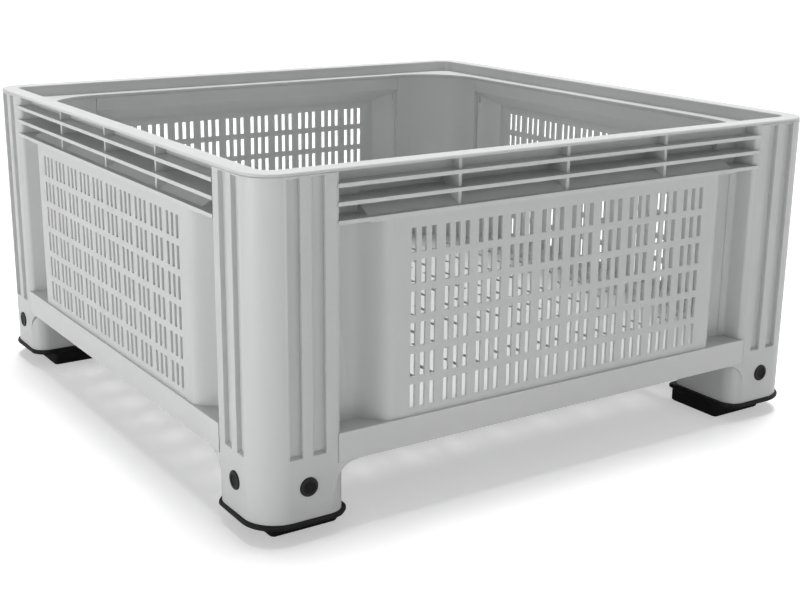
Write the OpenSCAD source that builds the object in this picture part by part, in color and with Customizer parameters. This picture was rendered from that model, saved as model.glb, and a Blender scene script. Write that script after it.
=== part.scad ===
// Vented square fruit bin: base tray, four corner posts with feet, four slotted
// side walls, a stacking rim, and black foot caps held by push-in pins.
// Millimetres, Z up, origin at the middle of the footprint on the floor.

/* [Overall] */
// Outside width and depth of the square bin
bin_w = 1130; // [1000:1:1300]
// Outside height from the floor to the rim
bin_h = 560; // [500:1:800]
// Radius of the rounded outside corners
corner_r = 55; // [40:1:70]
// Thickness of the moulded skins
skin = 5; // [4:0.5:7]
// Gap left between pieces that slide together
fit = 0.3; // [0.2:0.05:0.4]

/* [Rim] */
// Width of the flat top of the rim
lip_w = 32; // [28:1:40]
// Thickness of the top flange
lip_t = 5; // [4:0.5:7]
// Depth of the stacking ledge below the top of the rim
lip_h = 23; // [20:1:30]
// Rounding on the edges of the top flange
lip_round = 1.6; // [0.5:0.1:2]
// Depth of the wall from the outside face to the inside face
wall_d = 60; // [54:1:70]
// Radius of the inside corners of the bin
inner_r = 130; // [110:1:150]
// Side of the square plug that locates the rim in each post
plug_w = 54; // [40:1:56]
// Length of that plug
plug_h = 40; // [20:1:60]

/* [Ribs] */
// Thickness of the stiffening ribs
rib_t = 6; // [4:0.5:8]
// Distance from one rib to the next
rib_pitch = 27; // [24:0.5:32]
// Thickness of the upright webs between the ribs
web_t = 6; // [4:0.5:8]
// How far the webs lie back from the edges of the ribs
web_back = 9; // [4:1:14]
// Number of upright webs on each side
web_n = 3; // [1:1:5]
// How far a rib laps over the rounded edge of a post
rib_lap = 7; // [2:0.5:8]

/* [Corner posts] */
// Width of each outside face of a post
post_w = 140; // [134:1:160]
// Radius of the rounded side edge of a post
edge_r = 13; // [10:0.5:16]
// Width of the upright channels
chan_w = 22; // [16:0.5:24]
// Depth of the upright channels
chan_d = 8; // [4:0.5:10]
// Distance between the middles of the two channels
chan_pitch = 40; // [36:0.5:44]
// Distance from the corner to the middle between the channels
chan_mid = 81; // [78:0.5:88]
// Rounding at the ends of the channels, seen from the side
chan_lip = 3; // [3:0.5:5]
// Slope of the side of a post over its whole depth
jamb_run = 6; // [2:0.5:8]
// Radius of the fillet from the side of a post to the groove
jamb_r = 12; // [8:1:20]
// Thickness of the thin edge of that fillet
jamb_thin = 0.8; // [0.5:0.1:1.5]

/* [Side walls] */
// Depth of the groove between the post and the panel
groove_d = 45; // [38:1:46]
// Width of the floor of that groove beside the post
groove_w = 36; // [26:1:44]
// Width of the curved flank from the groove to the panel
flank_w = 50; // [40:1:64]
// How far the panel lies back from the outside face
panel_back = 4; // [2:0.5:8]
// How far a wall slides into the post
tongue = 12; // [8:1:14]
// Height of the plain strip over the top row of slots
strip_top = 17; // [10:1:24]
// Height of the plain strip under the bottom row of slots
strip_bot = 14; // [8:1:24]

/* [Slots] */
// Width of a slot
slot_w = 9; // [6:0.5:11]
// Distance from one slot to the next in a group
slot_pitch = 18.3; // [15:0.1:22]
// Slots in a group
slot_n = 3; // [2:1:4]
// Distance from one group to the next
group_pitch = 62.2; // [50:0.1:75]
// Least plain width beside the slots
slot_edge = 24; // [12:1:28]
// Rows of slots
row_n = 6; // [4:1:8]
// Height of the bar between two rows
row_bar = 12; // [8:0.5:20]

/* [Base tray] */
// Height of the outside rail of the base
rail_h = 46; // [40:1:60]
// How far the floor lies below the top of the rail
floor_drop = 14; // [8:1:20]
// Thickness of the floor
floor_t = 6; // [4:0.5:8]
// Thickness of the ribs under the floor
floor_rib_t = 5; // [3:0.5:7]
// Ribs under the floor each way
floor_rib_n = 9; // [5:1:11]
// Length of a drain slot in the floor
drain_l = 54; // [30:1:60]
// Width of a drain slot in the floor
drain_w = 9; // [5:0.5:12]
// Distance between the two drain slots in a bay of the floor
drain_pitch = 40; // [25:1:60]

/* [Feet] */
// Height of the bare foot under the rail
foot_h = 80; // [70:1:100]
// Radius of the arch from the rail into the foot
arch_r = 40; // [25:1:50]
// Thickness of the thin end of that arch
arch_thin = 0.8; // [0.5:0.1:1.5]
// Width of a foot
foot_w = 150; // [142:1:156]
// Radius of the upright edges at the sides of a foot
foot_r = 30; // [24:1:36]
// Radius of the inner corner of a foot and of its cap
foot_in_r = 14; // [10:1:18]

/* [Foot caps] */
// Thickness of the flange under the foot
cap_t = 8; // [6:0.5:12]
// How far the flange stands out of the outside faces
cap_out = 5; // [2:0.5:7]
// How far the flange stands out of the inner sides of the foot
cap_in = 10; // [4:0.5:14]
// Rounding on the edge of the flange
cap_round = 2.5; // [1:0.5:3]
// Height of the stacking block
block_h = 26; // [24:1:32]
// How far the block lies in from the outside faces
block_in = 35; // [33:1:46]
// How far the block lies in from the inner edges of the flange
block_edge = 6; // [4:0.5:12]
// Radius of the corners of the block
block_r = 10; // [8:1:20]
// Rounding on the lower edge of the block
block_round = 3; // [1:0.5:4]
// Thickness of the walls of the cap
cap_skin = 6; // [4:0.5:8]
// Height of the socket that reaches up inside the foot
socket_h = 69; // [66:1:72]

/* [Pins] */
// Diameter of the head of a pin
pin_head_d = 30; // [24:0.5:34]
// How far the head stands out of the foot
pin_out = 2.5; // [1:0.25:4]
// Depth of the seat of the head in the foot
pin_seat = 1.5; // [0.5:0.25:2.5]
// Diameter of the shank of a pin
pin_d = 16; // [10:0.5:20]
// Radius by which the barb stands out from the shank
barb = 1.5; // [0.5:0.25:3]
// Length of the barb
barb_l = 5; // [3:0.5:8]
// Diameter of the dish in the head
dish_d = 19; // [10:0.5:22]
// Depth of the dish in the head
dish_h = 1.2; // [0.5:0.1:2]
// Rounding on the rim of the head
pin_ease = 1; // [0.5:0.1:1.5]
// Height of the pins above the underside of the foot
pin_up = 53; // [50:0.5:56]

/* [Hidden] */
$fn = 64;
half = bin_w / 2;
z_foot = block_h + cap_t;
z_rail = z_foot + foot_h;
z_panel = z_rail + rail_h;
z_top = bin_h;
z_ledge = z_top - lip_h;
z_band = z_ledge - rib_t;
z_rib2 = z_band - rib_pitch;
z_rib3 = z_rib2 - rib_pitch;
z_head = z_rib3 - rib_t / 2;
z_floor = z_panel - floor_drop;
panel_h = z_head - z_panel;
slot_h = (panel_h - strip_top - strip_bot - (row_n - 1) * row_bar) / row_n;
group_w = (slot_n - 1) * slot_pitch + slot_w;
x_jamb = post_w + jamb_run;
x_flank = x_jamb + groove_w;
x_panel = x_flank + flank_w;
// as many groups of slots as a wall has room for
group_n = floor((bin_w - 2 * x_panel - 2 * slot_edge - group_w) / group_pitch) + 1;
grid_w = (group_n - 1) * group_pitch + group_w;
// middle of the inside corner arc, from the outside faces
arc_c = wall_d + inner_r;
lip_web = lip_w - skin;
back_d = groove_d + skin + fit;
pin_x = chan_mid;
pin_z = z_foot + pin_up;
z_chan0 = z_rail + rail_h / 2;
z_chan1 = z_top - lip_t - chan_lip;
floor_w = bin_w - 2 * wall_d;
bay = (bin_w - 2 * post_w) / (web_n + 1);
// flats along the curved flank
flank_n = 16;
eps = 0.01;
// how far a cut runs past the face it starts from
over = 1;

grey = [0.78, 0.79, 0.79];
black = [0.08, 0.08, 0.085];

// quarter turns: 0 front or front left, 1 right, 2 back, 3 left
module turn(k) {
    rotate([0, 0, 90 * k])
        translate([-half, -half, 0])
            children();
}

// the same shape again, mirrored over the diagonal of a corner
module both_faces() {
    children();
    mirror([1, -1, 0])
        children();
}

// square from (a, a) to (b, b), corner radii r0 (outside), r1 (sides) and r2 (inner)
module corner_square(a, b, r0, r1, r2) {
    difference() {
        translate([a, a])
            square(b - a);
        corner_off(a, a, r0, 0);
        corner_off(b, a, r1, 90);
        corner_off(b, b, r2, 180);
        corner_off(a, b, r1, 270);
    }
}

// what a corner of radius r takes off, at (x, y), turned by t
module corner_off(x, y, r, t) {
    translate([x, y])
        rotate(t)
            difference() {
                translate([-over, -over])
                    square(r + over);
                translate([r, r])
                    circle(r);
            }
}

// square ring outline: d in from the outside faces, corner radius r
module bin_outline(d, r) {
    corner_square(d, bin_w - d, r, r, r);
}

// upright plate along a side, drawn as (x, z), from depth d, thickness t
module along_face(d, t) {
    translate([0, d + t, 0])
        rotate([90, 0, 0])
            linear_extrude(t)
                children();
}

// profile drawn as (depth, z), run along a side from x0 to x1
module along_side(x0, x1) {
    translate([x0, 0, 0])
        rotate([90, 0, 90])
            linear_extrude(x1 - x0)
                children();
}

// outside skin of a post in plan, without the channels
module post_skin() {
    difference() {
        corner_square(0, post_w, corner_r, edge_r, edge_r);
        corner_square(skin, 2 * post_w, corner_r - skin, edge_r, edge_r);
    }
}

// rounded side edge of a post in plan, g wider
module post_edge(g) {
    translate([post_w - edge_r, edge_r])
        circle(edge_r + g);
}

// jamb of a post in plan, from its rounded edge to the floor of the groove
module post_jamb() {
    polygon([[post_w - skin / 2, edge_r], [post_w, edge_r],
        [x_jamb, groove_d - fit], [x_jamb - skin, groove_d - fit]]);
}

// fillet in plan from the jamb to the floor of the groove
module jamb_fillet() {
    d1 = groove_d - fit;
    d0 = d1 - jamb_thin - jamb_r;
    x0 = post_w + jamb_run * (d0 - edge_r) / (d1 - edge_r);
    difference() {
        translate([x0 - skin, d0])
            square([skin + jamb_r, d1 - d0]);
        translate([x0 + jamb_r, d0])
            circle(jamb_r);
    }
}

// whole plan of a post, filled, g wider all round
module post_plan(g) {
    difference() {
        translate([-over, -over])
            square(arc_c + g + over);
        translate([arc_c, arc_c])
            circle(inner_r - g);
        both_faces()
            beside_post(g);
    }
}

// room beside a post in plan, past its rounded edge and its jamb
module beside_post(g) {
    difference() {
        polygon([[post_w - rib_lap, -2 * over], [2 * arc_c, -2 * over], [2 * arc_c, back_d - fit],
            [x_jamb + g, back_d - fit], [x_jamb + g, groove_d - fit], [post_w + g, edge_r],
            [post_w - rib_lap, edge_r]]);
        post_edge(g);
    }
}

// curved inside column of a post in plan, with the strips behind the wall tongues
module post_column() {
    intersection() {
        difference() {
            translate([arc_c, arc_c])
                circle(arc_c - back_d);
            translate([arc_c, arc_c])
                circle(inner_r);
        }
        square(arc_c);
    }
    both_faces()
        translate([post_w, back_d])
            square([arc_c - post_w, skin]);
}

// cell walls that tie the outside skin of a post to its column
module post_cells() {
    both_faces()
        translate([chan_mid - skin / 2, skin - eps])
            square([skin, arc_c - inner_r * sqrt(0.5) - skin]);
}

// raised backs of the two channels on one face
module channel_backs() {
    for (s = [-1, 1])
        translate([chan_mid + s * chan_pitch / 2 - chan_w / 2 - skin, skin / 2, z_chan0 - skin])
            cube([chan_w + 2 * skin, chan_d + skin / 2, z_chan1 - z_chan0 + skin]);
}

// the channels cut in one face, with sloped ends
module channels() {
    for (s = [-1, 1])
        translate([chan_mid + s * chan_pitch / 2 - chan_w / 2, 0, 0])
            along_side(0, chan_w)
                polygon([[-over, z_chan0 - chan_lip], [0, z_chan0 - chan_lip], [chan_d, z_chan0],
                    [chan_d, z_chan1 - chan_lip], [0, z_chan1], [-over, z_chan1]]);
}

// arch that runs from the foot into the rail
module foot_arch() {
    along_face(0, skin)
        difference() {
            translate([post_w - edge_r - skin, z_rail - arch_r - arch_thin])
                square([arch_r + skin, arch_r + arch_thin - fit]);
            translate([post_w - edge_r + arch_r, z_rail - arch_r - fit - arch_thin])
                circle(arch_r);
        }
}

// foot in plan, d in from its sides
module foot_plan(d) {
    corner_square(d, foot_w - d, corner_r - d, foot_r - d, max(foot_in_r - d, eps));
}

// hollow foot, open below
module foot_box() {
    translate([0, 0, z_foot])
        difference() {
            linear_extrude(foot_h - fit)
                foot_plan(0);
            translate([0, 0, -over])
                linear_extrude(foot_h - fit - skin + over)
                    foot_plan(skin);
        }
}

// hole and seat for a pin, through one face of a foot
module pin_hole() {
    translate([pin_x, 0, pin_z])
        rotate([-90, 0, 0]) {
            translate([0, 0, -over])
                cylinder(h = skin + 2 * over, d = pin_d + 2 * fit);
            translate([0, 0, -over])
                cylinder(h = pin_seat + over, d = pin_head_d + 2 * fit);
        }
}

module corner_post(k) {
    color(grey)
        turn(k)
            difference() {
                union() {
                    foot_box();
                    translate([0, 0, z_rail - fit])
                        linear_extrude(z_top - lip_t - z_rail)
                            post_skin();
                    translate([0, 0, z_rail - fit])
                        linear_extrude(skin + fit)
                            intersection() {
                                post_plan(0);
                                union() {
                                    corner_square(0, post_w, corner_r, edge_r, edge_r);
                                    corner_square(edge_r, 2 * arc_c, corner_r - edge_r, edge_r, edge_r);
                                }
                            }
                    translate([0, 0, z_rail - eps])
                        linear_extrude(z_band - fit - z_rail + eps) {
                            both_faces() {
                                difference() {
                                    post_edge(0);
                                    post_edge(-skin);
                                }
                                post_jamb();
                            }
                            post_column();
                            post_cells();
                        }
                    both_faces() {
                        channel_backs();
                        foot_arch();
                        translate([0, 0, z_panel + fit])
                            linear_extrude(z_rib3 - z_panel - 2 * fit)
                                jamb_fillet();
                    }
                }
                both_faces() {
                    channels();
                    pin_hole();
                }
            }
}

// depth of the wall at a share s of its flank, a smooth curve
function flank_d(s) = panel_back + (groove_d - panel_back) * (1 + cos(180 * s)) / 2;

// points along the flank from the panel to the groove, t behind its face
function flank_line(t) = [for (i = [flank_n : -1 : 0])
    [x_flank + flank_w * i / flank_n, flank_d(i / flank_n) + t]];
function flipped(p) = [for (i = [len(p) - 1 : -1 : 0]) p[i]];

// curved flank in plan
module flank() {
    polygon(concat([[x_panel + eps, panel_back + skin], [x_panel + eps, panel_back]],
        flank_line(0), flipped(flank_line(skin))));
}

// the same shape at the other end of a wall
module both_ends() {
    children();
    translate([bin_w, 0, 0])
        mirror([1, 0, 0])
            children();
}

// flat slotted panel, drawn as (x, z)
module slotted_panel() {
    difference() {
        translate([x_panel, z_panel])
            square([bin_w - 2 * x_panel, panel_h]);
        for (g = [0 : group_n - 1])
            for (i = [0 : slot_n - 1])
                for (r = [0 : row_n - 1])
                    translate([half - grid_w / 2 + g * group_pitch + i * slot_pitch,
                        z_panel + strip_bot + r * (slot_h + row_bar)])
                        square([slot_w, slot_h]);
    }
}

// skin over the panel, drawn as (depth, z): slopes in to the inside face, then rises
module band_skin() {
    polygon([[panel_back, z_head], [panel_back + skin, z_head],
        [wall_d, z_rib2], [wall_d, z_band - fit],
        [wall_d - skin, z_band - fit], [wall_d - skin, z_rib2 + skin / 2],
        [panel_back, z_head + skin]]);
}

// what lies over the middle of the sloped skin, drawn as (depth, z)
module over_slope() {
    polygon([[-over, z_head + skin / 2], [panel_back + skin / 2, z_head + skin / 2],
        [wall_d - skin / 2, z_rib2 + skin / 4], [wall_d - skin / 2, z_top], [-over, z_top]]);
}

// end of the band and slope, down to the floor of the groove, drawn as (depth, z)
module band_end() {
    polygon([[panel_back + skin, z_head + skin / 2], [groove_d + skin, z_rib3],
        [groove_d + skin, z_rib2], [wall_d, z_rib2], [wall_d, z_band - fit],
        [groove_d, z_band - fit], [groove_d, z_rib2 - skin]]);
}

// half of a rib in plan: it follows the edge and the jamb of the post to the depth of back
module rib_half(back) {
    difference() {
        polygon(concat([[post_w - rib_lap, 0], [half + eps, 0]], back,
            [[x_jamb + fit, groove_d + skin], [x_jamb + fit, groove_d - fit], [post_w + fit, edge_r],
            [post_w - rib_lap, edge_r]]));
        post_edge(fit);
    }
}

// place of the upright webs on a side
function web_x(i) = post_w + bay * i;

module side_wall(k) {
    band_x = arc_c + fit;
    back2 = [[half + eps, wall_d - skin + eps], [band_x, wall_d - skin + eps], [band_x, groove_d + skin]];
    rib_back = panel_back + skin + rib_t / 2;
    back3 = concat([[half + eps, rib_back]], [for (p = flank_line(skin)) [p.x, max(p.y, rib_back)]]);
    color(grey)
        turn(k)
            union() {
                along_face(panel_back, skin)
                    slotted_panel();
                along_side(band_x, bin_w - band_x)
                    band_skin();
                both_ends() {
                    // floor of the groove, with the tongue that slides into the post
                    translate([x_jamb - tongue, groove_d, z_panel])
                        cube([x_flank - x_jamb + tongue + eps, skin, z_band - fit - z_panel]);
                    translate([x_flank, groove_d, z_rib3])
                        cube([band_x + skin - x_flank, skin, z_band - fit - z_rib3]);
                    along_side(band_x, band_x + skin)
                        band_end();
                    difference() {
                        translate([0, 0, z_panel])
                            linear_extrude(z_rib2 - z_panel)
                                flank();
                        along_side(x_flank - over, x_panel + over)
                            over_slope();
                    }
                    translate([0, 0, z_rib2])
                        linear_extrude(rib_t)
                            rib_half(back2);
                    translate([0, 0, z_rib3])
                        linear_extrude(rib_t)
                            rib_half(back3);
                }
                for (i = [1 : web_n])
                    along_side(web_x(i) - web_t / 2, web_x(i) + web_t / 2)
                        polygon([[web_back, z_rib3], [wall_d - skin / 2, z_rib2 + skin / 4],
                            [wall_d - skin / 2, z_band - fit], [web_back, z_band - fit]]);
            }
}

// section of the rim: top flange with rounded edges and the web under it, as (depth, z)
module rim_section() {
    polygon([[lip_round, z_top], [lip_w - lip_round, z_top], [lip_w, z_top - lip_round],
        [lip_w, z_ledge - eps], [lip_web, z_ledge - eps], [lip_web, z_top - lip_t],
        [0, z_top - lip_t], [0, z_top - lip_round]]);
}

// one side and one corner of the rim
module rim_quarter() {
    along_side(corner_r, bin_w - corner_r)
        rim_section();
    translate([corner_r, corner_r, 0])
        rotate([0, 0, 180])
            rotate_extrude(angle = 90)
                translate([corner_r, 0])
                    mirror([1, 0])
                        rim_section();
}

// rib under the rim between the posts, with its webs, and ends that carry the jambs on up
module rim_rib() {
    both_ends() {
        translate([0, 0, z_band])
            linear_extrude(rib_t)
                difference() {
                    translate([post_w - rib_lap, 0])
                        square([half - post_w + rib_lap + eps, lip_web + eps]);
                    intersection() {
                        post_edge(fit);
                        beside_edge(-over, skin + fit);
                    }
                }
        translate([0, 0, z_band])
            linear_extrude(z_top - lip_t - z_band + eps)
                intersection() {
                    union() {
                        post_edge(0);
                        post_jamb();
                    }
                    beside_edge(skin + fit, lip_web + eps);
                }
    }
    for (i = [1 : web_n])
        translate([web_x(i) - web_t / 2, web_back, z_ledge - eps])
            cube([web_t, lip_web - web_back + eps, lip_h - lip_t + 2 * eps]);
}

// strip in plan from the rounded edge of a post to the middle of a side, from depth d0 to d1
module beside_edge(d0, d1) {
    translate([post_w - edge_r, d0])
        square([half - post_w + edge_r, d1 - d0]);
}

// hollow plug under the rim that drops into a post
module rim_plug() {
    edge = chan_mid - skin / 2 - fit;
    translate([edge - plug_w, edge - plug_w, z_band - plug_h])
        difference() {
            cube([plug_w, plug_w, plug_h + eps]);
            translate([skin, skin, -over])
                cube([plug_w - 2 * skin, plug_w - 2 * skin, plug_h + over]);
        }
}

module top_rim() {
    color(grey)
        union() {
            for (k = [0 : 3])
                turn(k) {
                    rim_quarter();
                    rim_rib();
                    rim_plug();
                }
            turn(0)
                translate([0, 0, z_band])
                    linear_extrude(rib_t)
                        difference() {
                            bin_outline(lip_web, corner_r - lip_web);
                            bin_outline(wall_d, inner_r);
                        }
        }
}

// the same corner piece at all four corners of the plan
module four_corners() {
    for (k = [0 : 3])
        translate([half, half])
            rotate(90 * k)
                translate([-half, -half])
                    children();
}

// floor seen from above, with its drain slots
module floor_plan() {
    step = floor_w / (floor_rib_n + 1);
    difference() {
        translate([wall_d - skin, wall_d - skin])
            square(floor_w + 2 * skin);
        four_corners()
            post_plan(fit);
        for (i = [0 : floor_rib_n])
            for (j = [1 : floor_rib_n - 1])
                for (s = [-1, 1])
                    translate([wall_d + (i + 0.5) * step - drain_w / 2 + s * drain_pitch / 2,
                        wall_d + (j + 0.5) * step - drain_l / 2])
                        square([drain_w, drain_l]);
    }
}

// rail in plan between the posts, d deep
module rail_plan(d) {
    difference() {
        square(bin_w);
        translate([d, d])
            square(bin_w - 2 * d);
        four_corners()
            post_plan(fit);
    }
}

module base_tray() {
    step = floor_w / (floor_rib_n + 1);
    color(grey)
        turn(0)
            union() {
                translate([0, 0, z_floor - floor_t])
                    linear_extrude(floor_t)
                        floor_plan();
                // rail round the floor: outside skirt, top and inside skirt
                translate([0, 0, z_rail])
                    linear_extrude(rail_h)
                        rail_plan(skin);
                translate([0, 0, z_panel - skin])
                    linear_extrude(skin)
                        rail_plan(wall_d);
                for (k = [0 : 3])
                    translate([half, half, 0])
                        rotate([0, 0, 90 * k])
                            translate([arc_c + fit - half, wall_d - skin - half, z_rail + fit])
                                cube([bin_w - 2 * arc_c - 2 * fit, skin, rail_h - fit]);
                // curved skirts at the corners, which rest on the feet
                translate([0, 0, z_rail + fit])
                    linear_extrude(z_floor - z_rail - fit)
                        four_corners()
                            intersection() {
                                square(arc_c + fit);
                                difference() {
                                    translate([arc_c, arc_c])
                                        circle(inner_r - fit);
                                    translate([arc_c, arc_c])
                                        circle(inner_r - fit - skin);
                                }
                            }
                // ribs under the floor, both ways
                translate([0, 0, z_rail + fit])
                    linear_extrude(z_floor - floor_t - z_rail - fit + eps)
                        difference() {
                            for (i = [1 : floor_rib_n]) {
                                translate([wall_d - skin, wall_d + i * step - floor_rib_t / 2])
                                    square([floor_w + 2 * skin, floor_rib_t]);
                                translate([wall_d + i * step - floor_rib_t / 2, wall_d - skin])
                                    square([floor_rib_t, floor_w + 2 * skin]);
                            }
                            four_corners()
                                post_plan(fit);
                        }
            }
}

// edge of a plate from z0 to z1, eased by e0 below and e1 above, drawn as (depth, z)
module eased_edge(d, z0, z1, e0, e1) {
    polygon([[e0, z0], [d, z0], [d, z1], [e1, z1], [0, z1 - e1], [0, z0 + e0]]);
}

// disc of radius r with the same edge, at (x, y)
module eased_disc(x, y, r, z0, z1, e0, e1) {
    translate([x, y, 0])
        rotate_extrude()
            polygon([[0, z0], [r - e0, z0], [r, z0 + e0], [r, z1 - e1], [r - e1, z1], [0, z1]]);
}

// square plate from a to b with rounded corners and eased edges
module eased_plate(a, b, r0, r1, r2, z0, z1, e0, e1) {
    d = e0 + e1 + 2 * over;
    translate([0, 0, z0])
        linear_extrude(z1 - z0)
            corner_square(a + d - eps, b - d + eps, r0 - d, r1 - d, r2 - d);
    eased_disc(a + r0, a + r0, r0, z0, z1, e0, e1);
    eased_disc(b - r2, b - r2, r2, z0, z1, e0, e1);
    both_faces() {
        eased_disc(b - r1, a + r1, r1, z0, z1, e0, e1);
        translate([0, a, 0])
            along_side(a + r0, b - r1)
                eased_edge(d, z0, z1, e0, e1);
        translate([0, b, 0])
            mirror([0, 1, 0])
                along_side(a + r1, b - r2)
                    eased_edge(d, z0, z1, e0, e1);
    }
}

// hole for the shank and barb of a pin in the socket of a cap
module cap_hole() {
    translate([pin_x, 0, pin_z])
        rotate([-90, 0, 0])
            cylinder(h = skin + 2 * cap_skin, d = pin_d + 2 * fit);
}

module foot_cap(k) {
    in_a = skin + fit;
    hollow = in_a + cap_skin;
    flange_b = foot_w + cap_in;
    color(black)
        turn(k)
            difference() {
                union() {
                    eased_plate(-cap_out, flange_b, corner_r + cap_out, foot_r, foot_in_r,
                        block_h, z_foot, cap_round, cap_round);
                    eased_plate(block_in, flange_b - block_edge, block_r, block_r, block_r,
                        0, block_h + cap_t / 2, block_round, 0);
                    translate([0, 0, z_foot - over])
                        linear_extrude(socket_h + over)
                            foot_plan(in_a);
                }
                translate([0, 0, z_foot])
                    linear_extrude(socket_h + over)
                        foot_plan(hollow);
                translate([0, 0, cap_skin])
                    linear_extrude(z_foot)
                        intersection() {
                            foot_plan(hollow);
                            translate([block_in + cap_skin, block_in + cap_skin])
                                square(foot_w);
                        }
                both_faces()
                    cap_hole();
            }
}

// push-in pin on one face of a foot: dished head, shank and barb
module cap_pin(k, side) {
    seat = skin + fit + cap_skin + fit;
    color(black)
        turn(k)
            mirror([side, -side, 0])
                translate([pin_x, 0, pin_z])
                    rotate([-90, 0, 0])
                        rotate_extrude()
                            polygon([[0, dish_h - pin_out], [dish_d / 2 - dish_h, dish_h - pin_out],
                                [dish_d / 2, -pin_out], [pin_head_d / 2 - pin_ease, -pin_out],
                                [pin_head_d / 2, pin_ease - pin_out], [pin_head_d / 2, pin_seat - fit],
                                [pin_d / 2, pin_seat - fit], [pin_d / 2, seat],
                                [pin_d / 2 + barb, seat], [pin_d / 2 - barb, seat + barb_l],
                                [0, seat + barb_l]]);
}

base_tray();
corner_post(0);  // corner_post_fl
corner_post(1);  // corner_post_fr
corner_post(2);  // corner_post_br
corner_post(3);  // corner_post_bl
side_wall(0);  // side_wall_front
side_wall(1);  // side_wall_right
side_wall(2);  // side_wall_back
side_wall(3);  // side_wall_left
top_rim();
foot_cap(0);  // foot_cap_fl
foot_cap(1);  // foot_cap_fr
foot_cap(2);  // foot_cap_br
foot_cap(3);  // foot_cap_bl
cap_pin(0, 0);  // cap_pin_fl_a
cap_pin(0, 1);  // cap_pin_fl_b
cap_pin(1, 0);  // cap_pin_fr_a
cap_pin(1, 1);  // cap_pin_fr_b
cap_pin(2, 0);  // cap_pin_br_a
cap_pin(2, 1);  // cap_pin_br_b
cap_pin(3, 0);  // cap_pin_bl_a
cap_pin(3, 1);  // cap_pin_bl_b
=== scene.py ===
# %% [markdown]
# # A vented fruit bin, dressed for its portrait
# The bin is an assembly of light grey mouldings on four black foot caps. The solids that came
# with it are exact but razor-edged, and a real moulding never is: its edges are rounded so that it
# leaves the mould. This lesson keeps every solid where it is, makes a rounded piece to stand for
# each one, cuts the slots again with Geometry Nodes, and gives all of it a moulded finish.

import math

import bmesh
import bpy
from mathutils import Matrix, Vector
from mathutils.geometry import intersect_point_line


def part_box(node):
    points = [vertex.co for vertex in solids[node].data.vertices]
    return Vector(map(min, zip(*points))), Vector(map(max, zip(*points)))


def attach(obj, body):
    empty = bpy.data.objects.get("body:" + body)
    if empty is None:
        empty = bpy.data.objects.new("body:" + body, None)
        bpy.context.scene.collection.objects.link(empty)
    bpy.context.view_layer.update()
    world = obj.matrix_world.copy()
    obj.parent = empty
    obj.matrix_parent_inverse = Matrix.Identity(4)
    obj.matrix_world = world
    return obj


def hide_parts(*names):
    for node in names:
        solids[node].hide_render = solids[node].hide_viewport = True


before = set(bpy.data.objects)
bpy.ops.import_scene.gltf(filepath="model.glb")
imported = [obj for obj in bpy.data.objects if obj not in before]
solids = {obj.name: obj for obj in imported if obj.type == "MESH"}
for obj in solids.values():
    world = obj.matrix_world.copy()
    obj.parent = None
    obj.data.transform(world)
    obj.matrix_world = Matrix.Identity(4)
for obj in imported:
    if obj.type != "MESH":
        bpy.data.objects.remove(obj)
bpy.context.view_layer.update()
BODY = "root"
MM = 0.001

# %% [markdown]
# ## Measures
# The outside of the bin can be read off the solids. What a bounding box can't tell, such as where
# the flat panel of a wall lies, is written down once here, in the sizes that the mould was cut to.

# %% Measures of the bin
CORNERS = ("fl", "fr", "br", "bl")
SIDES = ("front", "right", "back", "left")
QUARTER = math.pi / 2
PANEL_SETBACK = 4 * MM
PANEL_SKIN = 5 * MM
PANEL_W = 666 * MM
PANEL_HEAD = 474 * MM

half_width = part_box("top_rim")[1].x
panel_front = PANEL_SETBACK - half_width
panel_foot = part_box("side_wall_front")[0].z
panel_h = PANEL_HEAD - panel_foot
print("half width", round(half_width, 4), "panel", round(PANEL_W, 3), "by", round(panel_h, 3))

# %% [markdown]
# ## Grey moulded plastic
# The body is a polyolefin, through-coloured light grey, with a satin skin. Three scales make it
# read as plastic and not as paint: a slow drift of tone over a whole wall, a patchy sheen at hand
# size, and a grain of about a millimetre that the mould's etched steel leaves. Handling adds pale
# scuffs that lie along the sides and a slightly paler line on the edges. A picture of all this
# would need unwrapping, so it is made of noise on the object's own coordinates instead.

# %% Material helpers
def shader_nodes(name):
    """A new material, with its node tree and its Principled shader."""
    material = bpy.data.materials.new(name)
    material.use_nodes = True
    tree = material.node_tree
    return material, tree, tree.nodes["Principled BSDF"]


def noise(tree, place, scale, detail, roughness=0.5, stretch=(1, 1, 1)):
    """A noise pattern on the object's own coordinates, stretched along its axes."""
    mapping = tree.nodes.new("ShaderNodeMapping")
    mapping.inputs["Scale"].default_value = stretch
    tree.links.new(place.outputs["Object"], mapping.inputs["Vector"])
    texture = tree.nodes.new("ShaderNodeTexNoise")
    texture.inputs["Scale"].default_value = scale
    texture.inputs["Detail"].default_value = detail
    texture.inputs["Roughness"].default_value = roughness
    tree.links.new(mapping.outputs["Vector"], texture.inputs["Vector"])
    return texture.outputs["Fac"]


def spread(tree, value, taken, given):
    """Maps a value from the range that is taken to the range that is given, with the ends held."""
    node = tree.nodes.new("ShaderNodeMapRange")
    for key, number in zip(("From Min", "From Max", "To Min", "To Max"), (*taken, *given)):
        node.inputs[key].default_value = number
    tree.links.new(value, node.inputs["Value"])
    return node.outputs["Result"]


print("pattern helpers ready")

# %% Mixing tones and raising a grain
def tint(tree, factor, first, second):
    """Mixes two colours, or links, by a factor."""
    node = tree.nodes.new("ShaderNodeMix")
    node.data_type = "RGBA"
    tree.links.new(factor, node.inputs["Factor"])
    for socket, colour in ((node.inputs["A"], first), (node.inputs["B"], second)):
        if isinstance(colour, bpy.types.NodeSocket):
            tree.links.new(colour, socket)
        else:
            socket.default_value = (*colour, 1)
    return node.outputs["Result"]


def grain_bump(tree, height, depth, strength):
    """Turns a height pattern into a bump, depth in metres."""
    bump = tree.nodes.new("ShaderNodeBump")
    bump.inputs["Strength"].default_value = strength
    bump.inputs["Distance"].default_value = depth
    tree.links.new(height, bump.inputs["Height"])
    return bump.outputs["Normal"]


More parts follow.
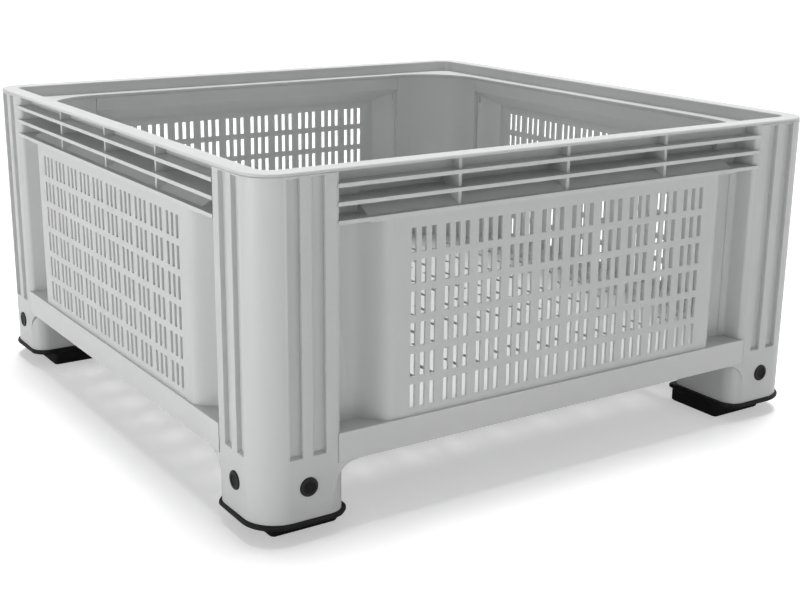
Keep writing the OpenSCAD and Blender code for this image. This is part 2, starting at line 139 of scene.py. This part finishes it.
print("tone helpers ready")

# %% Grey plastic of the body
PLASTIC_IOR = 1.49
SHEEN_LESS, SHEEN_MORE = 0.06, 0.08


def moulded_plastic(name, colour, drift, worn, roughness, gloss):
    """Satin moulded plastic: drifting tone, patchy sheen, etched grain, scuffs and worn edges."""
    material, tree, shader = shader_nodes(name)
    place = tree.nodes.new("ShaderNodeTexCoord")
    slow = noise(tree, place, scale=3, detail=3)
    speck = noise(tree, place, scale=420, detail=2)
    scuff = noise(tree, place, scale=9, detail=5, roughness=0.65, stretch=(1, 1, 26))
    edge = tree.nodes.new("ShaderNodeNewGeometry").outputs["Pointiness"]
    tone = tint(tree, spread(tree, slow, taken=(0.3, 0.7), given=(0, 1)), colour, drift)
    for share, other in (
            (spread(tree, speck, taken=(0.35, 0.65), given=(0, 0.25)), drift),
            (spread(tree, scuff, taken=(0.62, 0.8), given=(0, 0.4)), worn),
            (spread(tree, edge, taken=(0.52, 0.6), given=(0, 0.4)), worn)):
        tone = tint(tree, share, tone, other)
    tree.links.new(tone, shader.inputs["Base Color"])

    patches = noise(tree, place, scale=40, detail=4, roughness=0.6)
    sheen = (roughness - SHEEN_LESS, roughness + SHEEN_MORE)
    tree.links.new(
        spread(tree, patches, taken=(0.3, 0.7), given=sheen), shader.inputs["Roughness"])
    grain = noise(tree, place, scale=900, detail=3)
    tree.links.new(
        grain_bump(tree, grain, depth=0.3 * MM, strength=0.22), shader.inputs["Normal"])
    shader.inputs["IOR"].default_value = PLASTIC_IOR
    shader.inputs["Specular IOR Level"].default_value = gloss
    return material


grey_plastic = moulded_plastic(
    "grey_plastic", colour=(0.60, 0.605, 0.605), drift=(0.565, 0.57, 0.572),
    worn=(0.68, 0.68, 0.68), roughness=0.42, gloss=0.5)
print("made", grey_plastic.name)

# %% [markdown]
# ## Black cap plastic
# The caps and their pins are the wearing pieces: a tougher black compound, duller than the body,
# scuffed to grey along the edges that drag on concrete. It is the same recipe with other numbers.

# %% Black plastic of the caps and pins
black_plastic = moulded_plastic(
    "black_plastic", colour=(0.006, 0.006, 0.0065), drift=(0.009, 0.009, 0.009),
    worn=(0.05, 0.05, 0.05), roughness=0.5, gloss=0.15)
print("made", black_plastic.name)

# %% [markdown]
# ## Rounding a solid
# A moulding's edges could be modelled one by one, but here the form is settled already and only the
# sharpness is wrong. So each solid is copied and its triangles are joined back into whole faces.
# A face that would close into a ring, such as the top of the rim, is first cut in quarters, because
# a face with a hole in it can't be filled well.

# %% Joining triangles into whole faces
WELD = 0.06 * MM
FLAT = math.radians(1)


def whole_faces(bm):
    """Welds loose triangles and joins those that lie in one plane, up to the seams."""
    bmesh.ops.remove_doubles(bm, verts=bm.verts[:], dist=WELD)
    bmesh.ops.dissolve_degenerate(bm, edges=bm.edges[:], dist=WELD)
    bmesh.ops.dissolve_limit(
        bm, angle_limit=FLAT, verts=bm.verts[:], edges=bm.edges[:], delimit={"SEAM"})


def cut_quarters(bm):
    """Seams in the middle planes, so that no flat face closes into a ring."""
    for normal in ((1, 0, 0), (0, 1, 0)):
        geometry = bm.verts[:] + bm.edges[:] + bm.faces[:]
        cut = bmesh.ops.bisect_plane(bm, geom=geometry, plane_co=(0, 0, 0), plane_no=normal)
        for part in cut["geom_cut"]:
            if isinstance(part, bmesh.types.BMEdge):
                part.seam = True


print("points closer than", WELD / MM, "mm are one")

# %% [markdown]
# ## Choosing the edges to round
# Only edges that turn outward are rounded: the inward ones are hardly seen, and stay as creases.
# A bevel that is wider than the face beside it folds over, so an edge is taken only where the
# radius has room. A trial on a copy then shows where the surface still folds, and the edges there
# stay sharp.

# %% Edges and the room beside them
SHARP = math.radians(24)
ROOM = 2.2
IN_LINE = 0.8


def turning(bm, angle):
    """The edges at which the surface turns by more than an angle."""
    return [e for e in bm.edges if e.is_manifold and e.calc_face_angle(0) > angle]


def ends(edge):
    """The places of the two ends of an edge."""
    return [vert.co for vert in edge.verts]


def along(edge):
    """The direction of an edge."""
    return (edge.verts[1].co - edge.verts[0].co).normalized()


def has_room(edge, radius):
    """Whether the edges that cross the ends of this one are long enough for the radius."""
    others = {other for vert in edge.verts for other in vert.link_edges if other is not edge}
    short = (other for other in others if other.calc_length() < ROOM * radius)
    return not any(abs(along(other).dot(along(edge))) < IN_LINE for other in short)


def gap(place, line):
    """Distance from a place to the line between two ends."""
    share = intersect_point_line(place, *line)[1]
    return (line[0].lerp(line[1], min(max(share, 0), 1)) - place).length


print("edges that turn by more than", round(math.degrees(SHARP)), "degrees count as sharp")

# %% Bevel and its trial
FOLD = math.radians(100)
TIGHT_SHARE = 0.2


def bevel(bm, edges, radius, steps):
    """Rounds edges by a radius."""
    bmesh.ops.bevel(
        bm, geom=edges, offset=radius, offset_type="OFFSET", segments=steps, profile=0.5,
        affect="EDGES", clamp_overlap=False, loop_slide=False,
    )


def trial_folds(bm, edges, radius, steps):
    """Places where a trial of the bevel folds the surface, apart from its own tight corners."""
    tight = [ends(edge) for edge in turning(bm, FOLD)]
    trial = bm.copy()
    trial.edges.ensure_lookup_table()
    bevel(trial, [trial.edges[e.index] for e in edges], radius, steps)
    places = []
    for edge in turning(trial, FOLD):
        first, last = (place.copy() for place in ends(edge))
        if all(gap((first + last) / 2, line) > TIGHT_SHARE * radius for line in tight):
            places += [first, last]
    trial.free()
    return places


print("folds are turns of more than", round(math.degrees(FOLD)), "degrees")

# %% Rounding a copy of a solid
CREASE = math.radians(62)
TRIALS = 8
CLEAR_OF_FOLD = 1.8


def round_edges(bm, radius, steps, keep=None):
    """Rounds the outward edges that have room, apart from those that a test of a place keeps."""
    bm.edges.index_update()
    chosen = [e for e in turning(bm, SHARP) if e.is_convex and has_room(e, radius)]
    if keep:
        chosen = [e for e in chosen if not any(keep(place) for place in ends(e))]
    clear = CLEAR_OF_FOLD * radius
    for _ in range(TRIALS):
        folds = trial_folds(bm, chosen, radius, steps)
        if not folds:
            break
        chosen = [e for e in chosen if all(gap(place, ends(e)) > clear for place in folds)]
    for edge in turning(bm, SHARP):
        edge.smooth = edge.is_convex
    bevel(bm, chosen, radius, steps)
    for edge in turning(bm, CREASE):
        edge.smooth = False
    return len(chosen)


def rounded_mesh(node, radius, steps=2, cut=None, keep=None):
    """The mesh of a solid with rounded edges; a cut may reshape the copy first."""
    bm = bmesh.new()
    bm.from_mesh(solids[node].data)
    if cut:
        cut(bm)
    whole_faces(bm)
    count = round_edges(bm, radius, steps, keep)
    mesh = bpy.data.meshes.new(node + "_moulded")
    bm.to_mesh(mesh)
    bm.free()
    print(node, "edges rounded:", count)
    return mesh


print("rounding takes up to", TRIALS, "trials a piece")

# %% [markdown]
# ## Pieces that stand for solids
# The four corners are one moulding set down four times, and so are the four walls. So each kind of
# piece is finished once, in the place of its first solid, and then turned by quarters about the
# middle of the bin. Weighted normals keep the flats flat, so that only the rounded edges catch the
# light.

# %% Finishing a piece
def new_object(name, data):
    """An object at the origin that shows a mesh or a lamp."""
    obj = bpy.data.objects.new(name, data)
    bpy.context.scene.collection.objects.link(obj)
    return obj


def bake(obj):
    """Turns what the modifiers make into the object's plain mesh."""
    bpy.context.view_layer.update()
    graph = bpy.context.evaluated_depsgraph_get()
    mesh = bpy.data.meshes.new_from_object(obj.evaluated_get(graph), depsgraph=graph)
    obj.modifiers.clear()
    obj.data = mesh
    mesh.name = obj.name


def settle_normals(obj):
    """Smooth shading whose normals follow the large faces, baked into the mesh."""
    for face in obj.data.polygons:
        face.use_smooth = True
    obj.modifiers.new("weighted normals", "WEIGHTED_NORMAL").keep_sharp = True
    bake(obj)


def open_edges(mesh):
    """How many edges of a mesh don't lie between two faces."""
    bm = bmesh.new()
    bm.from_mesh(mesh)
    count = sum(not e.is_manifold for e in bm.edges)
    bm.free()
    return count


print("finishing helpers ready")

# %% Setting pieces round the bin
def stand_for(obj, nodes):
    """The piece rides on the bin and shows in place of its solids."""
    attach(obj, BODY)
    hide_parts(*nodes)
    print(obj.name, "faces:", len(obj.data.polygons), "open edges:", open_edges(obj.data))


def set_round(first, nodes):
    """A finished piece stands for the first node, and turned copies of it for the others."""
    meshes = [first.data] + [first.data.copy() for _ in nodes[1:]]
    for k, (node, mesh) in enumerate(zip(nodes, meshes)):
        mesh.transform(Matrix.Rotation(k * QUARTER, 4, "Z"))
        stand_for(new_object(node + "_moulded", mesh) if k else first, [node])


def rounded_pieces(nodes, radius, material, cut=None):
    """Rounded pieces that stand for one solid and its turned copies."""
    obj = new_object(nodes[0] + "_moulded", rounded_mesh(nodes[0], radius, cut=cut))
    obj.data.materials.append(material)
    settle_normals(obj)
    set_round(obj, nodes)


print("a piece is set at each of", len(CORNERS), "corners or", len(SIDES), "sides")

# %% [markdown]
# ## Posts, rim and base
# The posts and the base are thick mouldings with a full radius on their edges. The rim is thinner,
# with fine ribs, so its radius is smaller. All three are whole in their solids, and only need their
# edges rounded.

# %% Posts, rim and base
POST_RADIUS = 1.2 * MM
RIM_RADIUS = 0.7 * MM
BASE_RADIUS = 1.2 * MM

posts = ["corner_post_" + corner for corner in CORNERS]
rounded_pieces(posts, POST_RADIUS, grey_plastic)
rounded_pieces(["top_rim"], RIM_RADIUS, grey_plastic, cut_quarters)
rounded_pieces(["base_tray"], BASE_RADIUS, grey_plastic)

# %% [markdown]
# ## Foot caps
# The flange of a cap stands proud of the foot by the same few millimetres all round its outer side.
# The solid's flange is wider than that at its two side corners, so the copy's side corners are
# pulled in a little before its edges are rounded. What lies farther off stays where it is.

# %% Caps
CAP_RADIUS = 0.8 * MM
CORNER_PULL = 7.5 * MM
CORNER_REACH = 40 * MM
cap_low, cap_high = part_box("foot_cap_fl")
cap_middle = (cap_low + cap_high).xy / 2
side_corners = Vector((cap_high.x, cap_low.y)), Vector((cap_low.x, cap_high.y))


def trim_cap(bm):
    """Pulls in the side corners of the first cap's flange."""
    for vert in bm.verts:
        for corner in side_corners:
            pull = CORNER_PULL * max(1 - (vert.co.xy - corner).length / CORNER_REACH, 0)
            vert.co.xy = vert.co.xy + pull * (cap_middle - corner).normalized()


caps = ["foot_cap_" + corner for corner in CORNERS]
rounded_pieces(caps, CAP_RADIUS, black_plastic, trim_cap)

# %% [markdown]
# ## Growing a piece with Geometry Nodes
# What repeats is best said once as a rule. A tree of nodes says it, with a named input for each
# size, and a modifier runs it. Three helpers keep the trees short: one starts a tree, one adds a
# node and links it, and one sets the inputs on the modifier.

# %% Geometry Nodes helpers
def new_tree(name, inputs):
    """A tree with a geometry in and out and a named input for each size, with its end nodes."""
    tree = bpy.data.node_groups.new(name, "GeometryNodeTree")
    tree.interface.new_socket("Geometry", in_out="INPUT", socket_type="NodeSocketGeometry")
    for label, kind in inputs.items():
        tree.interface.new_socket(label, in_out="INPUT", socket_type="NodeSocket" + kind)
    tree.interface.new_socket("Geometry", in_out="OUTPUT", socket_type="NodeSocketGeometry")
    return tree, tree.nodes.new("NodeGroupInput"), tree.nodes.new("NodeGroupOutput")


def grow(tree, kind, sockets=None, **settings):
    """Adds a node, makes its settings, links or sets its sockets and gives its first output."""
    node = tree.nodes.new(kind)
    for key, value in settings.items():
        setattr(node, key, value)
    for key, value in (sockets or {}).items():
        for part in value if isinstance(value, list) else [value]:
            if isinstance(part, bpy.types.NodeSocket):
                tree.links.new(part, node.inputs[key])
            else:
                node.inputs[key].default_value = part
    return node.outputs[0]


def run_tree(obj, tree, values):
    """Puts the tree on an object and sets its inputs by their identifiers."""
    modifier = obj.modifiers.new(tree.name, "NODES")
    modifier.node_group = tree
    for item in tree.interface.items_tree:
        if item.in_out == "INPUT" and item.name in values:
            modifier[item.identifier] = values[item.name]


print("Geometry Nodes helpers ready")

# %% [markdown]
# ## The slotted panels
# Air reaches the fruit through slots in groups of three, six rows high. Cutting them one by one
# with booleans would be slow and leave sharp rims. Instead one slot's wall is swept along its
# outline, with a rounded rim on both sides of the skin. It is repeated as slots, groups and rows,
# and the front and back sheets are filled up to the rims.

# %% Tree of a slotted panel
RIM_POINTS = 3
CORNER_POINTS = 3
PANEL_SIZES = {
    "Width": "Float", "Height": "Float", "Skin": "Float", "Slot Width": "Float",
    "Slot Height": "Float", "Corner": "Float", "Rim": "Float", "Slots": "Int",
    "Slot Step": "Vector", "Groups": "Int", "Group Step": "Vector", "Rows": "Int",
    "Row Step": "Vector", "First Slot": "Vector", "Place": "Vector", "Weld": "Float",
    "Material": "Material",
}
panel_tree, given, result = new_tree("slotted_panel", PANEL_SIZES)
size = given.outputs


def panel(kind, sockets=None, **settings):
    """A node of the panel's tree."""
    return grow(panel_tree, kind, sockets, **settings)


def point(x, y, z):
    """A vector in the panel's tree, from numbers or links."""
    return panel("ShaderNodeCombineXYZ", {"X": x, "Y": y, "Z": z})


def rim_arc(start, place):
    """A quarter circle of the rim, drawn from the back of the skin to its front."""
    arc = panel("GeometryNodeCurveArc", {
        "Resolution": RIM_POINTS, "Radius": size["Rim"], "Start Angle": start,
        "Sweep Angle": QUARTER})
    return panel("GeometryNodeTransform", {"Geometry": arc, "Translation": place})


def repeated(geometry):
    """The same geometry at each slot of each group of each row."""
    for count, step in (("Slots", "Slot Step"), ("Groups", "Group Step"), ("Rows", "Row Step")):
        line = panel("GeometryNodeMeshLine", {"Count": size[count], "Offset": size[step]})
        geometry = panel("GeometryNodeInstanceOnPoints", {"Points": line, "Instance": geometry})
    return panel(
        "GeometryNodeTransform", {"Geometry": geometry, "Translation": size["First Slot"]})


print("panel tree started with", len(PANEL_SIZES), "inputs")

# %% Wall and rim of one slot
inner = panel("ShaderNodeMath", {0: size["Skin"], 1: size["Rim"]}, operation="SUBTRACT")
wall_line = panel("GeometryNodeCurvePrimitiveLine", {
    "Start": point(0, inner, 0), "End": point(0, size["Rim"], 0)})
profile = panel("GeometryNodeJoinGeometry", {"Geometry": [
    rim_arc(QUARTER, point(size["Rim"], inner, 0)), wall_line,
    rim_arc(math.pi, point(size["Rim"], size["Rim"], 0))]})

slot_box = panel("GeometryNodeCurvePrimitiveQuadrilateral", {
    "Width": size["Slot Width"], "Height": size["Slot Height"]})
outline = panel("GeometryNodeFilletCurve", {
    "Curve": slot_box, "Count": CORNER_POINTS, "Radius": size["Corner"]}, mode="POLY")
outline = panel("GeometryNodeSetCurveNormal", {"Curve": outline}, mode="Z_UP")
wall = panel("GeometryNodeCurveToMesh", {"Curve": outline, "Profile Curve": profile})
wall = panel("GeometryNodeMergeByDistance", {"Geometry": wall, "Distance": size["Weld"]})
print("the wall of one slot takes", len(panel_tree.nodes), "nodes")

# %% Loop of the front rim
neighbours = panel("GeometryNodeInputMeshEdgeNeighbors")
on_border = panel(
    "FunctionNodeCompare", {"A": neighbours, "B": 1}, data_type="INT", operation="EQUAL")
height = panel_tree.nodes.new("ShaderNodeSeparateXYZ")
panel_tree.links.new(panel("GeometryNodeInputPosition"), height.inputs[0])
middle = panel("ShaderNodeMath", {0: size["Skin"], 1: -0.5}, operation="MULTIPLY")
in_front = panel(
    "FunctionNodeCompare", {"A": height.outputs["Z"], "B": middle}, operation="GREATER_THAN")
at_rim = panel("FunctionNodeBooleanMath", {0: on_border, 1: in_front}, operation="AND")
rim_loop = panel("GeometryNodeMeshToCurve", {"Mesh": wall, "Selection": at_rim})
print("one slot takes", len(panel_tree.nodes), "nodes so far")

# %% Sheets between the slots
border = panel("GeometryNodeCurvePrimitiveQuadrilateral", {
    "Width": size["Width"], "Height": size["Height"]})
rims = panel("GeometryNodeRealizeInstances", {"Geometry": repeated(rim_loop)})
sheet = panel("GeometryNodeFillCurve", {
    "Curve": panel("GeometryNodeJoinGeometry", {"Geometry": [border, rims]})}, mode="TRIANGLES")
behind = panel("ShaderNodeMath", {0: size["Skin"], 1: -1}, operation="MULTIPLY")
back_sheet = panel("GeometryNodeTransform", {
    "Geometry": sheet, "Translation": point(0, 0, behind)})
back_sheet = panel("GeometryNodeFlipFaces", {"Mesh": back_sheet})
flat = panel("GeometryNodeJoinGeometry", {"Geometry": [repeated(wall), sheet, back_sheet]})
upright = panel("GeometryNodeTransform", {
    "Geometry": flat, "Translation": size["Place"], "Rotation": (QUARTER, 0, 0)})
whole = panel("GeometryNodeJoinGeometry", {"Geometry": [size["Geometry"], upright]})
whole = panel("GeometryNodeRealizeInstances", {"Geometry": whole})
whole = panel("GeometryNodeMergeByDistance", {"Geometry": whole, "Distance": size["Weld"]})
whole = panel("GeometryNodeSetMaterial", {"Geometry": whole, "Material": size["Material"]})
panel_tree.links.new(whole, result.inputs[0])
print("slotted panel:", len(panel_tree.nodes), "nodes")

# %% [markdown]
# ## The side walls
# A wall is more than its panel: curved flanks lead back to the grooves beside the posts, and ribs
# and a sloped band run over it. Those come from the solid, rounded like the rest. The flat panel is
# taken out of the copy first, and the tree fills the opening and welds its seam.

# %% Taking the panel out of a wall
NEAR = 0.05 * MM
SQUARE_ON = 0.99


def in_panel(place):
    """Whether a point of the front wall lies in its flat panel."""
    return (abs(place.x) < PANEL_W / 2 + NEAR and place.z < PANEL_HEAD + NEAR
            and panel_front - NEAR < place.y < panel_front + PANEL_SKIN + NEAR)


def at_foot(place):
    """Whether a point lies on the lower edge of the walls."""
    return place.z < panel_foot + NEAR


def stays_sharp(place):
    """Whether a point lies where the wall meets its panel or the base."""
    return in_panel(place) or at_foot(place)


def cut_panel(bm):
    """Takes the flat panel out of the front wall, down to the face that stands on the base."""
    bmesh.ops.remove_doubles(bm, verts=bm.verts[:], dist=WELD)
    sheets = [f for f in bm.faces
              if abs(f.normal.y) > SQUARE_ON and in_panel(f.calc_center_median())]
    parts = sheets + list({p for f in sheets for p in (*f.edges, *f.verts)})
    bmesh.ops.bisect_plane(bm, geom=parts, plane_co=(0, 0, PANEL_HEAD), plane_no=(0, 0, 1))
    flat_part = [f for f in bm.faces if all(in_panel(v.co) for v in f.verts)
                 and not all(at_foot(v.co) for v in f.verts)]
    bmesh.ops.delete(bm, geom=flat_part, context="FACES")


WALL_RADIUS = 1.0 * MM
walls = ["side_wall_" + side for side in SIDES]
wall_mesh = rounded_mesh(walls[0], WALL_RADIUS, cut=cut_panel, keep=stays_sharp)
front_wall = new_object(walls[0] + "_moulded", wall_mesh)
print("the wall without its panel has", open_edges(wall_mesh), "open edges")

# %% Growing the panel into it
SLOT_W = 9 * MM
SLOT_CORNER = 1.2 * MM
SLOT_RIM = 0.8 * MM
SLOT_PITCH = 18.3 * MM
SLOTS = 3
GROUP_PITCH = 62.2 * MM
GROUPS = 10
ROWS = 6
ROW_BAR = 12 * MM
STRIP_TOP = 17 * MM
STRIP_FOOT = 14 * MM
PANEL_WELD = 0.02 * MM
slot_h = (panel_h - STRIP_TOP - STRIP_FOOT - (ROWS - 1) * ROW_BAR) / ROWS
first_x = -((GROUPS - 1) * GROUP_PITCH + (SLOTS - 1) * SLOT_PITCH) / 2
first_y = STRIP_FOOT + (slot_h - panel_h) / 2

run_tree(front_wall, panel_tree, {
    "Width": PANEL_W, "Height": panel_h, "Skin": PANEL_SKIN,
    "Slot Width": SLOT_W, "Slot Height": slot_h, "Corner": SLOT_CORNER, "Rim": SLOT_RIM,
    "Slots": SLOTS, "Slot Step": (SLOT_PITCH, 0, 0),
    "Groups": GROUPS, "Group Step": (GROUP_PITCH, 0, 0),
    "Rows": ROWS, "Row Step": (0, slot_h + ROW_BAR, 0), "First Slot": (first_x, first_y, 0),
    "Place": (0, panel_front, panel_foot + panel_h / 2), "Weld": PANEL_WELD,
    "Material": grey_plastic,
})
bake(front_wall)
settle_normals(front_wall)
set_round(front_wall, walls)
print("slots in a wall:", SLOTS * GROUPS * ROWS, "each", round(slot_h / MM, 1), "mm high")

# %% [markdown]
# ## The push pins
# Each foot cap is held by two push pins whose round heads show on the outside faces of the foot.
# One rounded pin is enough: the tree turns a second one on to the next face, and sets the pair at
# each of the four corners by quarter turns about the middle of the bin.

# %% Tree of the pins
pin_tree, given, result = new_tree("corner_pins", {
    "Corners": "Int", "Turn": "Float", "Side Shift": "Vector", "Material": "Material"})
first_pin = given.outputs["Geometry"]
next_pin = grow(pin_tree, "GeometryNodeTransform", {
    "Geometry": first_pin, "Translation": given.outputs["Side Shift"],
    "Rotation": (0, 0, -QUARTER)})
pair = grow(pin_tree, "GeometryNodeJoinGeometry", {"Geometry": [first_pin, next_pin]})
index = grow(pin_tree, "GeometryNodeInputIndex")
angle = grow(
    pin_tree, "ShaderNodeMath", {0: index, 1: given.outputs["Turn"]}, operation="MULTIPLY")
around = grow(pin_tree, "ShaderNodeCombineXYZ", {"Z": angle})
middle_points = grow(pin_tree, "GeometryNodeMeshLine", {
    "Count": given.outputs["Corners"], "Offset": (0, 0, 0)})
pins = grow(pin_tree, "GeometryNodeInstanceOnPoints", {
    "Points": middle_points, "Instance": pair, "Rotation": around})
pins = grow(pin_tree, "GeometryNodeRealizeInstances", {"Geometry": pins})
pins = grow(pin_tree, "GeometryNodeSetMaterial", {
    "Geometry": pins, "Material": given.outputs["Material"]})
pin_tree.links.new(pins, result.inputs[0])
print("pin tree:", len(pin_tree.nodes), "nodes")

# %% Pins
PIN_RADIUS = 0.35 * MM
pin_low, pin_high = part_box("cap_pin_fl_a")
pin_x = (pin_low.x + pin_high.x) / 2
cap_pins = new_object("cap_pins", rounded_mesh("cap_pin_fl_a", PIN_RADIUS, steps=1))
run_tree(cap_pins, pin_tree, {
    "Corners": len(CORNERS), "Turn": QUARTER, "Side Shift": (0, 2 * pin_x, 0),
    "Material": black_plastic})
bake(cap_pins)
settle_normals(cap_pins)
pin_nodes = ["cap_pin_%s_%s" % (corner, face) for corner in CORNERS for face in "ab"]
stand_for(cap_pins, pin_nodes)

# %% [markdown]
# ## The camera
# The portrait is taken from outside the near corner, a little above the rim. The lens and the
# place come from lining up the rim, the posts and the feet with the picture.

# %% Camera
SENSOR_MM = 36
LENS_MM = 59.72
CAMERA_PLACE = (-1.378, -2.143, 0.9006)
YAW, LOOK_DOWN, ROLL = math.radians(-33.70), math.radians(16.16), math.radians(0.60)

camera_data = bpy.data.cameras.new("portrait")
camera_data.sensor_fit = "HORIZONTAL"
camera_data.sensor_width = SENSOR_MM
camera_data.lens = LENS_MM
camera = new_object("portrait", camera_data)
camera.matrix_world = (
    Matrix.Translation(CAMERA_PLACE) @ Matrix.Rotation(YAW, 4, "Z")
    @ Matrix.Rotation(QUARTER - LOOK_DOWN, 4, "X") @ Matrix.Rotation(ROLL, 4, "Z"))
bpy.context.scene.camera = camera
print("camera at", CAMERA_PLACE)

# %% [markdown]
# ## Studio
# White all round, as for a catalogue. A broad soft sun stands overhead, a little behind the bin, and
# a low lamp on the left almost grazes the right face, so that its slots and flanks read. The sky
# is brighter at the horizon than above. Floor and sky are white only to the eye of the camera, and
# the sky also to gloss: the light that falls on the bin stays at a plain level, and the floor keeps
# the shadow.

# %% Floor
FLOOR_REACH = 40
FLOOR_TONE = (0.8, 0.8, 0.8, 1)
FLOOR_ROUGHNESS = 0.9
FLOOR_GLOW = 0.42
WHITE = (1, 1, 1)

corners = [(x * FLOOR_REACH, y * FLOOR_REACH, 0) for x, y in ((-1, -1), (1, -1), (1, 1), (-1, 1))]
floor_mesh = bpy.data.meshes.new("floor")
floor_mesh.from_pydata(corners, [], [(0, 1, 2, 3)])
floor = new_object("floor", floor_mesh)
floor_paint, floor_tree, floor_shader = shader_nodes("pale_floor")
floor_shader.inputs["Base Color"].default_value = FLOOR_TONE
floor_shader.inputs["Roughness"].default_value = FLOOR_ROUGHNESS
floor_shader.inputs["Emission Color"].default_value = (*WHITE, 1)
floor_seen = floor_tree.nodes.new("ShaderNodeLightPath").outputs["Is Camera Ray"]
floor_glow = spread(floor_tree, floor_seen, taken=(0, 1), given=(0, FLOOR_GLOW))
floor_tree.links.new(floor_glow, floor_shader.inputs["Emission Strength"])
floor_mesh.materials.append(floor_paint)
print("floor reaches", FLOOR_REACH, "m")

# %% World
HORIZON = (0.6, 0.6, 0.6)
ZENITH = (0.25, 0.25, 0.25)
SKY_RISE = (0.1, 0.6)

world = bpy.data.worlds.new("studio")
bpy.context.scene.world = world
world.use_nodes = True
sky = world.node_tree
path = sky.nodes.new("ShaderNodeLightPath")
seen = path.outputs["Is Camera Ray"]
for ray in ("Is Glossy Ray", "Is Transmission Ray"):
    either = sky.nodes.new("ShaderNodeMath")
    either.operation = "MAXIMUM"
    sky.links.new(seen, either.inputs[0])
    sky.links.new(path.outputs[ray], either.inputs[1])
    seen = either.outputs[0]
direction = sky.nodes.new("ShaderNodeSeparateXYZ")
sky.links.new(sky.nodes.new("ShaderNodeTexCoord").outputs["Generated"], direction.inputs[0])
rise = spread(sky, direction.outputs["Z"], taken=SKY_RISE, given=(0, 1))
glow = tint(sky, rise, HORIZON, ZENITH)
sky.links.new(tint(sky, seen, glow, WHITE), sky.nodes["Background"].inputs["Color"])
print("world from", HORIZON[0], "at the horizon to", ZENITH[0], "overhead")

# %% Lamps
def lamp(name, kind, place, aim, energy, **settings):
    """A lamp that looks at a point."""
    data = bpy.data.lights.new(name, kind)
    data.energy = energy
    for key, value in settings.items():
        setattr(data, key, value)
    obj = new_object(name, data)
    obj.location = place
    obj.rotation_euler = (Vector(aim) - Vector(place)).to_track_quat("-Z", "Y").to_euler()
    print(name, energy)


lamp("overhead", "SUN", place=(0.7, 0.7, 4), aim=(0, 0, 0), energy=3.0, angle=math.radians(30))
lamp("key_left", "AREA", place=(-4, -0.55, 0.3), aim=(0, 0, 0.3), energy=34,
     shape="RECTANGLE", size=1.6, size_y=0.5)

# %% [markdown]
# ## View
# The plain Standard view shows colours as they were written. Dressing a part mustn't change its
# size.

# %% View
bpy.context.scene.view_settings.view_transform = "Standard"
